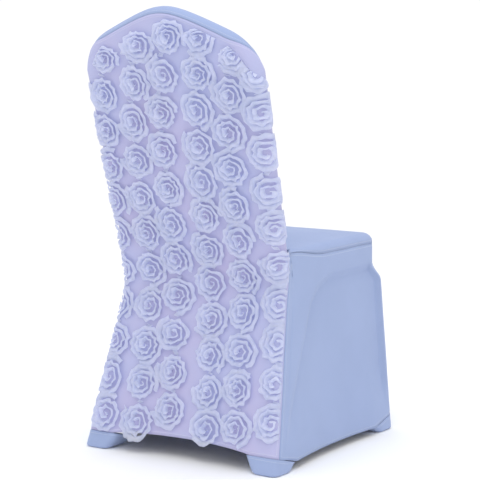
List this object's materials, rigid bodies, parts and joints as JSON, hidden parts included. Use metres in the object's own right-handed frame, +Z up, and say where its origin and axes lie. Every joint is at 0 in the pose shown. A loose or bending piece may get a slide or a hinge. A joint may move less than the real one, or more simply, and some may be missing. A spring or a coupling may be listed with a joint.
{
  "type": "chair cover",
  "caption": "Fitted stretch cover for a banquet chair: arched back panel covered in ribbon rosettes, plain seat, sides and front, arched hems and foot pockets.",
  "frame": {"origin": "the point under the crown where the cover hangs on the top rail of the chair, half way through the backrest", "axes": "+Z up, the sitter faces -Y, +X is the sitter's left"},
  "size_m": [0.4852, 0.5664, 0.9281],
  "materials": {
    "stretch_knit": "smooth matt stretch knit, white with a cool lavender tint",
    "rosette_base_cloth": "plain base cloth of the rosette panel, a little warmer and darker than the knit",
    "rosette_ribbon": "satin ribbon with a soft sheen, gathered into spiral rosettes"
  },
  "bodies": {
    "root": {"back_panel": "rosette_base_cloth", "inner_back_panel": "stretch_knit", "seat_panel": "stretch_knit", "side_panel_left": "stretch_knit", "side_panel_right": "stretch_knit", "front_panel": "stretch_knit", "foot_pocket_rear_left": "stretch_knit", "foot_pocket_rear_right": "stretch_knit", "foot_pocket_front_left": "stretch_knit", "foot_pocket_front_right": "stretch_knit", "rosette_ribbon_1": "rosette_ribbon", "rosette_ribbon_2": "rosette_ribbon", "rosette_ribbon_3": "rosette_ribbon", "rosette_ribbon_4": "rosette_ribbon", "rosette_ribbon_5": "rosette_ribbon", "rosette_ribbon_6": "rosette_ribbon"}
  },
  "joints": []
}
